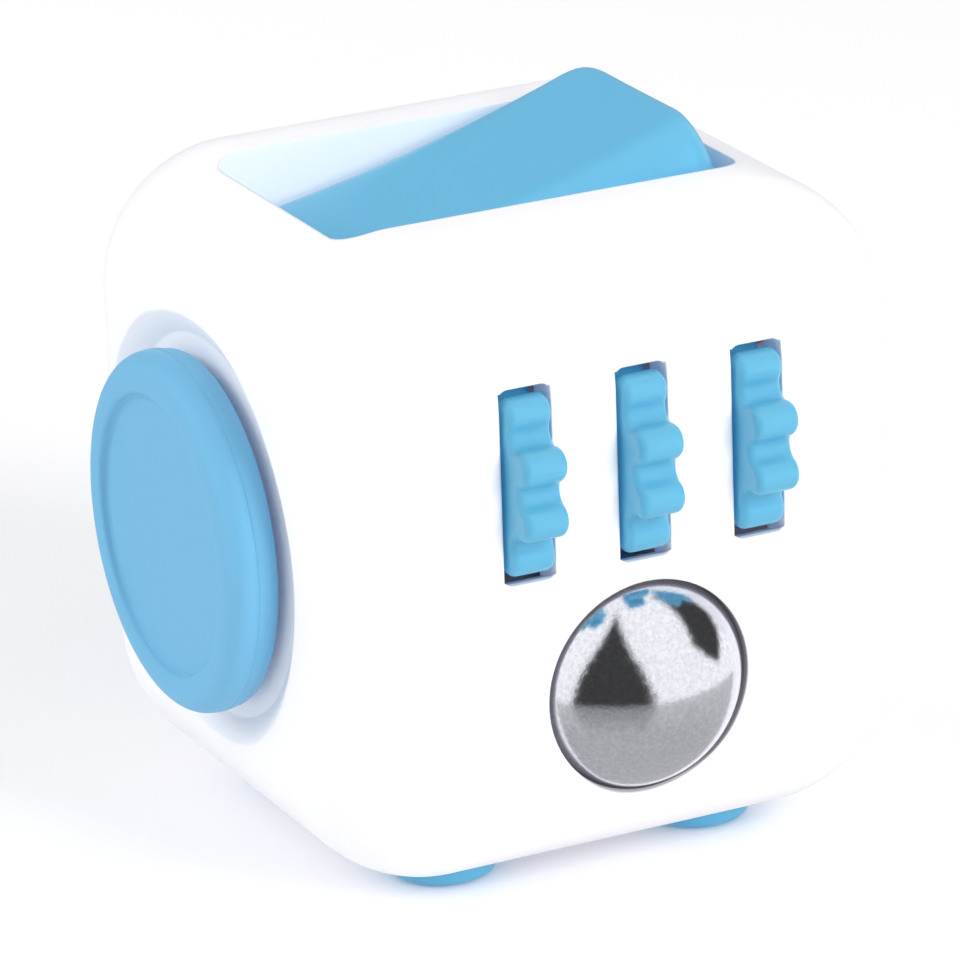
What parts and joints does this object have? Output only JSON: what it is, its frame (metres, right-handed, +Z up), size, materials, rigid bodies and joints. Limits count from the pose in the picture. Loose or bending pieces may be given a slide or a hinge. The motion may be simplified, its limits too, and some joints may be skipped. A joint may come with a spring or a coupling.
{
  "type": "fidget cube",
  "caption": "Palm-size rounded cube with a flip rocker, lobed wheels, a rolling ball, a gliding thumb disc, a spinning dial, push buttons and a thumb rest.",
  "frame": {"origin": "centre of the middle button's flat foot, on the surface that the cube stands on", "axes": "+Z up to the rocker face, -Y to the wheels and ball, -X to the thumb disc"},
  "size_m": [0.0353, 0.0385, 0.0364],
  "materials": {
    "shell_white": "satin moulded ABS",
    "blue_plastic": "satin moulded ABS",
    "blue_soft": "soft-touch moulded plastic",
    "ball_steel": "polished with fine scuffs",
    "pin_steel": "ground",
    "spring_steel": "spring-tempered strip",
    "screw_steel": "zinc-plated",
    "frame_nylon": "natural nylon",
    "cup_acetal": "natural acetal",
    "silicone": "translucent silicone",
    "board_laminate": "glass-epoxy laminate"
  },
  "bodies": {
    "root": {"outer_shell": "shell_white", "back_cover": "shell_white", "inner_frame": "frame_nylon", "gear_axle": "pin_steel", "gear_detent_spring": "spring_steel", "ball_spring": "spring_steel", "rocker_axle": "pin_steel", "rocker_detent_spring": "spring_steel", "glide_housing": "frame_nylon", "glide_centring_ring": "silicone", "dial_spring_washer": "spring_steel", "button_mat": "silicone", "click_domes": "spring_steel", "button_board": "board_laminate", "frame_screws": "screw_steel", "cover_screws": "screw_steel", "board_screws": "screw_steel", "glide_housing_screws": "screw_steel"},
    "rocker_body": {"rocker": "blue_plastic"},
    "gear_left_body": {"gear_left": "blue_plastic"},
    "gear_middle_body": {"gear_middle": "blue_plastic"},
    "gear_right_body": {"gear_right": "blue_plastic"},
    "ball_carrier": {"ball_cup": "cup_acetal"},
    "ball_body": {"steel_ball": "ball_steel"},
    "glide_carrier": {"glide_cross_slider": "cup_acetal"},
    "glide_stick": {"glide_cap": "blue_soft", "glide_stem": "cup_acetal", "glide_screw": "screw_steel"},
    "dial_body": {"spin_dial": "blue_plastic", "dial_retaining_washer": "pin_steel", "dial_screw": "screw_steel"},
    "button_1_body": {"button_1": "blue_plastic"},
    "button_2_body": {"button_2": "blue_plastic"},
    "button_3_body": {"button_3": "blue_plastic"},
    "button_4_body": {"button_4": "blue_plastic"},
    "button_5_body": {"button_5": "blue_plastic"}
  },
  "joints": [
    {"name": "rocker_flip", "type": "hinge", "parent": "root", "child": "rocker_body", "pos_m": [-0.0005, 0, 0.0302], "axis": [0, 1, 0], "range_deg": [0, 29], "deforming": ["rocker_detent_spring"]},
    {"name": "gear_left_spin", "type": "hinge", "parent": "root", "child": "gear_left_body", "pos_m": [-0.0063, -0.0136, 0.0231], "axis": [1, 0, 0], "continuous": true, "deforming": ["gear_detent_spring"]},
    {"name": "gear_middle_spin", "type": "hinge", "parent": "root", "child": "gear_middle_body", "pos_m": [0, -0.0136, 0.0231], "axis": [1, 0, 0], "continuous": true, "deforming": ["gear_detent_spring"]},
    {"name": "gear_right_spin", "type": "hinge", "parent": "root", "child": "gear_right_body", "pos_m": [0.0063, -0.0136, 0.0231], "axis": [1, 0, 0], "continuous": true, "deforming": ["gear_detent_spring"]},
    {"name": "ball_press", "type": "slide", "parent": "root", "child": "ball_carrier", "axis": [0, 1, 0], "range_m": [0, 0.0009], "stiffness_N_per_m": 60, "springref_m": -0.002, "deforming": ["ball_spring"]},
    {"name": "ball_roll", "type": "hinge", "parent": "ball_carrier", "child": "ball_body", "pos_m": [0, -0.0135, 0.01145], "axis": [1, 0, 0], "continuous": true},
    {"name": "glide_up", "type": "slide", "parent": "root", "child": "glide_carrier", "axis": [0, 0, 1], "range_m": [-0.001, 0.001], "stiffness_N_per_m": 20, "deforming": ["glide_centring_ring"]},
    {"name": "glide_across", "type": "slide", "parent": "glide_carrier", "child": "glide_stick", "axis": [0, 1, 0], "range_m": [-0.001, 0.001], "stiffness_N_per_m": 20, "deforming": ["glide_centring_ring"]},
    {"name": "dial_spin", "type": "hinge", "parent": "root", "child": "dial_body", "pos_m": [0, 0.0165, 0.0177], "axis": [0, 1, 0], "continuous": true},
    {"name": "button_1_press", "type": "slide", "parent": "root", "child": "button_1_body", "axis": [0, 0, 1], "range_m": [0, 0.0008], "stiffness_N_per_m": 20, "springref_m": -0.002, "deforming": ["button_mat"]},
    {"name": "button_2_press", "type": "slide", "parent": "root", "child": "button_2_body", "axis": [0, 0, 1], "range_m": [0, 0.0008], "stiffness_N_per_m": 20, "springref_m": -0.002, "deforming": ["button_mat"]},
    {"name": "button_3_press", "type": "slide", "parent": "root", "child": "button_3_body", "axis": [0, 0, 1], "range_m": [0, 0.0008], "stiffness_N_per_m": 20, "springref_m": -0.002, "deforming": ["button_mat"]},
    {"name": "button_4_press", "type": "slide", "parent": "root", "child": "button_4_body", "axis": [0, 0, 1], "range_m": [0, 0.0008], "stiffness_N_per_m": 20, "springref_m": -0.002, "deforming": ["button_mat"]},
    {"name": "button_5_press", "type": "slide", "parent": "root", "child": "button_5_body", "axis": [0, 0, 1], "range_m": [0, 0.0008], "stiffness_N_per_m": 20, "springref_m": -0.002, "deforming": ["button_mat"]}
  ]
}
